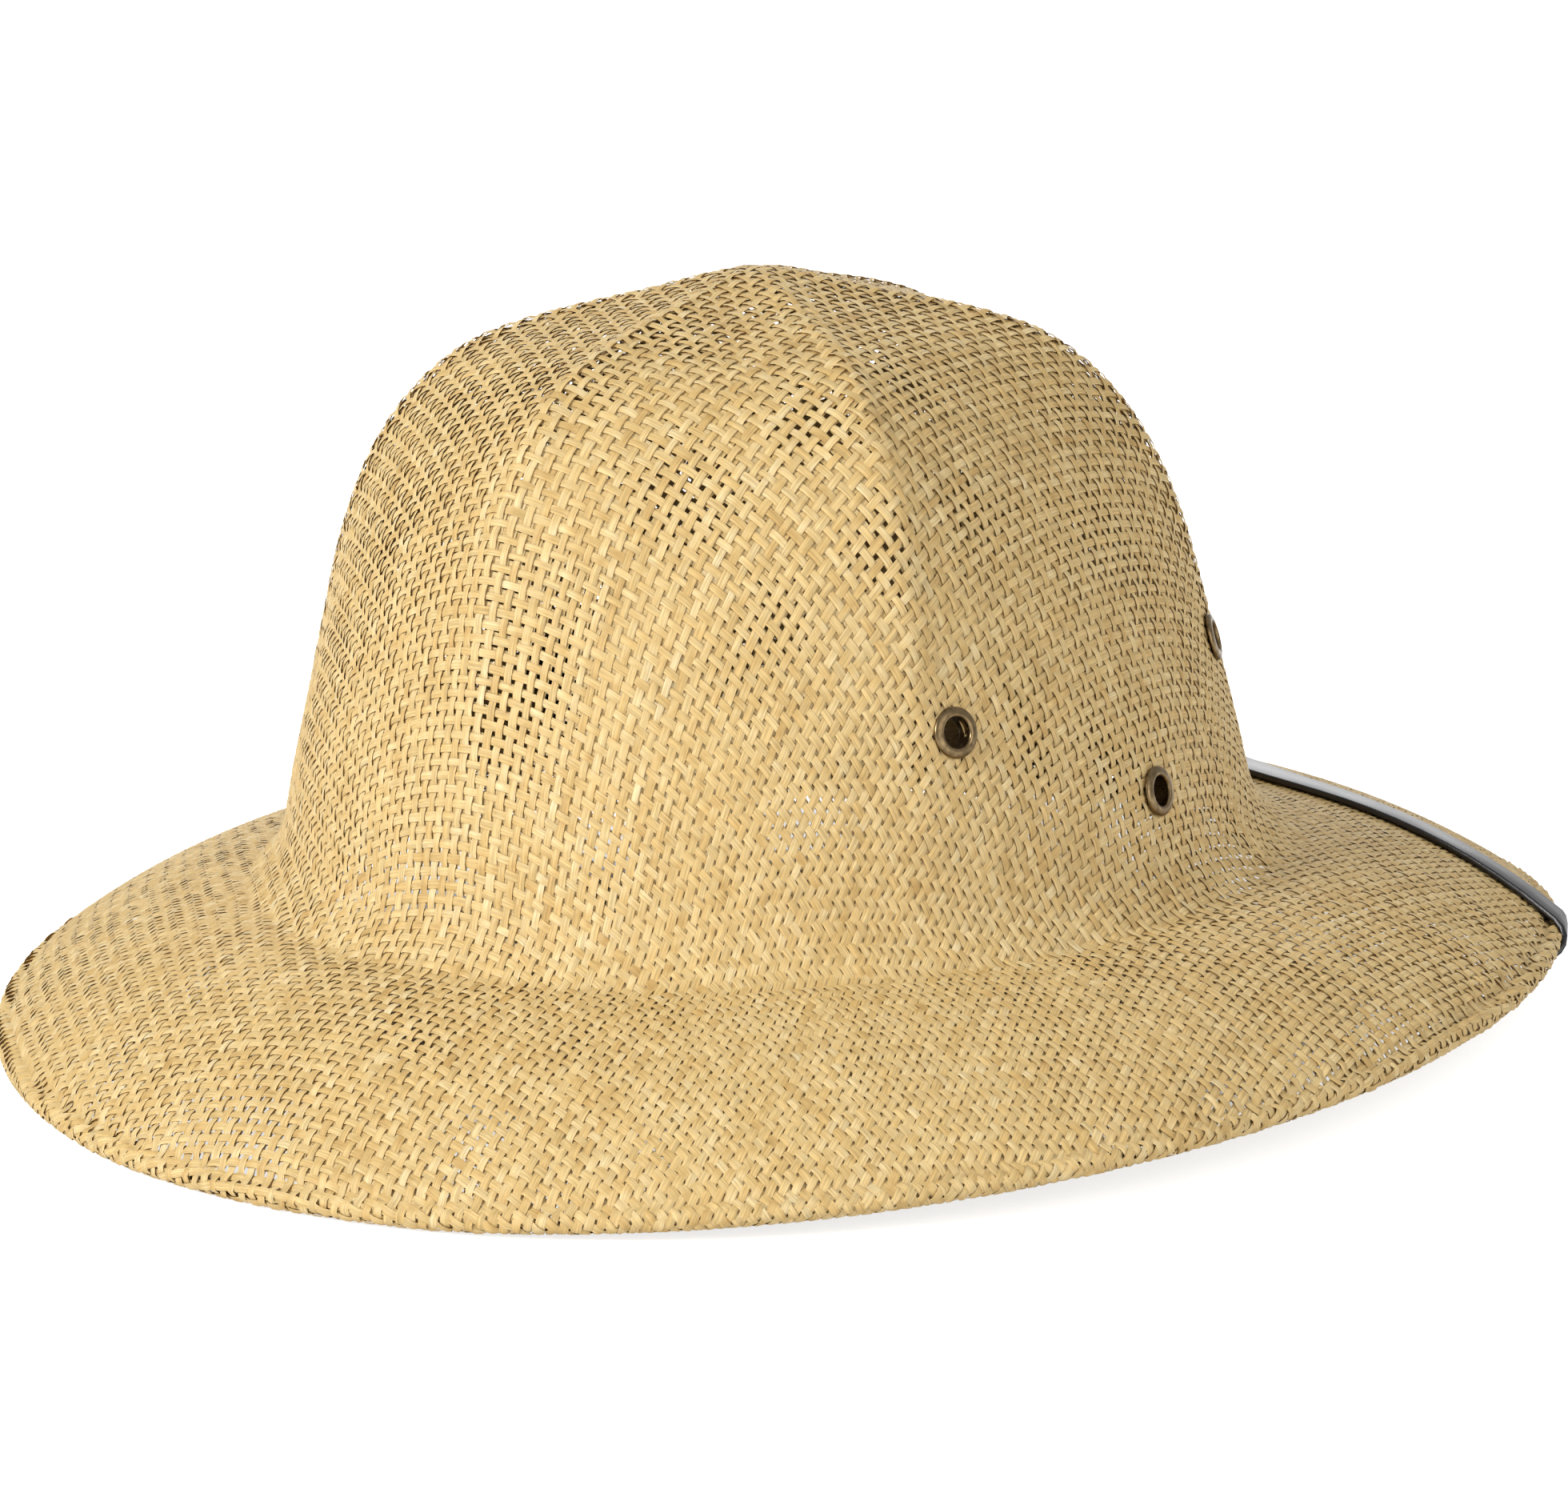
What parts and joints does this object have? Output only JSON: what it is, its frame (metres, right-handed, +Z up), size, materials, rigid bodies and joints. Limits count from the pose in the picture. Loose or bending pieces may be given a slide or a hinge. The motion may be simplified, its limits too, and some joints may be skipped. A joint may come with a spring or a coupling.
{
  "type": "pith helmet",
  "caption": "Woven paper-straw pith helmet with a ridged crown, a drooping rolled-edge brim, brass vent eyelets and a leather chin strap laid over the front brim.",
  "frame": {"origin": "centre of the bounding box in plan, on the surface that the brim's front and back edges rest on", "axes": "+X towards the front of the hat, the end where the chin strap crosses the brim; +Y towards the wearer's left; +Z up"},
  "size_m": [0.3408, 0.2728, 0.14],
  "materials": {
    "straw": "woven paper straw, lightly stiffened",
    "brass": "antique",
    "leather": "smooth, glossy",
    "stud": "black"
  },
  "bodies": {
    "root": {"hat_body": "straw", "eyelet_right_front": "brass", "eyelet_right_mid": "brass", "eyelet_right_back": "brass", "eyelet_left_front": "brass", "eyelet_left_mid": "brass", "eyelet_left_back": "brass", "chin_strap": "leather", "strap_stud_right": "stud", "strap_stud_left": "stud"}
  },
  "joints": []
}
